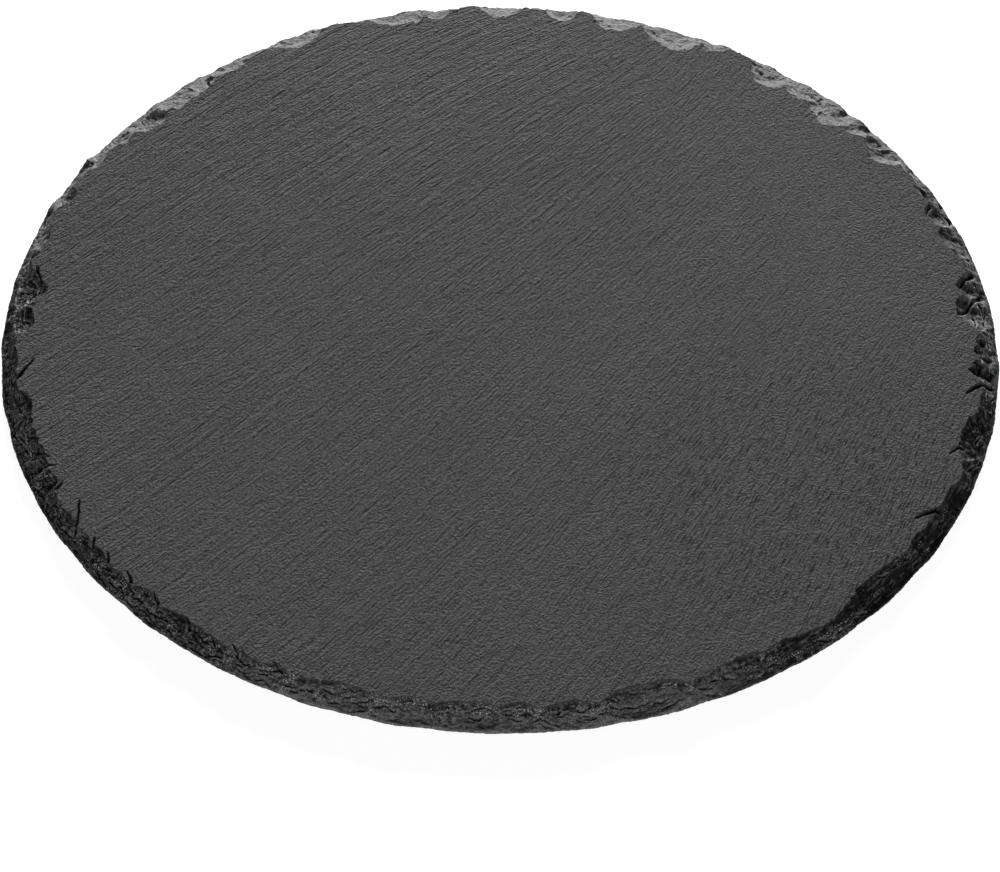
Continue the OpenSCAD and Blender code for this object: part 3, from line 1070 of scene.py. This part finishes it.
glow = add_node(tree, "Emission", WHITE, GLOW)
paper = add_node(tree, "BsdfDiffuse", linear("#bcbcbc"))
white = add_node(tree, "AddShader", glow, paper)
dim = add_node(tree, "BsdfDiffuse", linear("#6c6c6c"))
floor_mix = add_node(tree, "MixShader", seen_directly(tree), dim, white)
add_node(tree, "OutputMaterial", floor_mix)
floor.data.materials.append(white_paper)
print("floor:", 2 * FLOOR_HALF, "m wide, glow", GLOW)

# %% Fill the surroundings
AMBIENT = 0.03
world = bpy.data.worlds.new("studio")
bpy.context.scene.world = world
world.use_nodes = True
tree = world.node_tree
tree.nodes.clear()
brightness = add_node(tree, "MapRange", seen_directly(tree), 0, 1, AMBIENT, GLOW)
sky = add_node(tree, "Background", WHITE, brightness)
add_node(tree, "OutputWorld", sky)
print("ambient light", AMBIENT)

# %% [markdown]
# ## Studio light
# The relief shows because a broad soft lamp stands low behind the board and grazes the face: every scale
# has a lit far side and a shaded near side, and the far scars shine while the near edge stays dark.
# A weak lamp in front keeps that edge from going black.

# %% Hang the lamps
KEY_PLACE, KEY_SIZE, KEY_POWER = (0.12, 2.12, 0.57), (1.1, 0.42), 152
FILL_PLACE, FILL_SIZE, FILL_POWER = (-0.1, -1.95, 0.5), (0.9, 0.6), 22


def soft_lamp(name, place, size, power):
    """A rectangular area lamp that looks at the middle of the board."""
    lamp = bpy.data.lights.new(name, "AREA")
    lamp.shape = "RECTANGLE"
    lamp.size, lamp.size_y = size
    lamp.energy = power
    holder = bpy.data.objects.new(name, lamp)
    bpy.context.scene.collection.objects.link(holder)
    holder.location = place
    holder.rotation_euler = (-Vector(place)).to_track_quat("-Z", "Y").to_euler()
    holder.visible_camera = False


soft_lamp("key", KEY_PLACE, KEY_SIZE, KEY_POWER)
soft_lamp("fill", FILL_PLACE, FILL_SIZE, FILL_POWER)

# %% [markdown]
# ## The camera
# The photographer stood about a metre away and looked down at 46 degrees, with the camera turned by one
# degree. The lens follows from the size of the board in the picture, which is 1000 pixels wide.

# %% Choose the lens
VIEW_UP = math.radians(46.425)
VIEW_DISTANCE = 1.1
VIEW_TILT = math.radians(1.455)
VIEW_PAN = math.radians(-0.027)
VIEW_ROLL = math.radians(0.979)
FOCAL_PIXELS = 3645.0
IMAGE_W = 1000
SENSOR_W = 36.0
lens = bpy.data.cameras.new("camera")
lens.sensor_width = SENSOR_W
lens.lens = FOCAL_PIXELS * SENSOR_W / IMAGE_W
lens.clip_start, lens.clip_end = 0.01, 50
print("lens", round(lens.lens, 1), "mm")

# %% Aim the camera
camera = bpy.data.objects.new("camera", lens)
bpy.context.scene.collection.objects.link(camera)
steep = VIEW_UP + VIEW_TILT
back = Vector((math.sin(VIEW_PAN) * math.cos(steep), -math.cos(VIEW_PAN) * math.cos(steep), math.sin(steep)))
level_right = Vector((math.cos(VIEW_PAN), math.sin(VIEW_PAN), 0))
level_up = back.cross(level_right)
right = level_right * math.cos(VIEW_ROLL) + level_up * math.sin(VIEW_ROLL)
up = level_up * math.cos(VIEW_ROLL) - level_right * math.sin(VIEW_ROLL)
spot = Vector((0, -math.cos(VIEW_UP), math.sin(VIEW_UP))) * VIEW_DISTANCE
camera.matrix_world = Matrix.Translation(spot) @ Matrix((right, up, back)).transposed().to_4x4()
bpy.context.scene.camera = camera
bpy.context.scene.view_settings.view_transform = "Standard"
print("camera at", [round(v, 3) for v in camera.location])
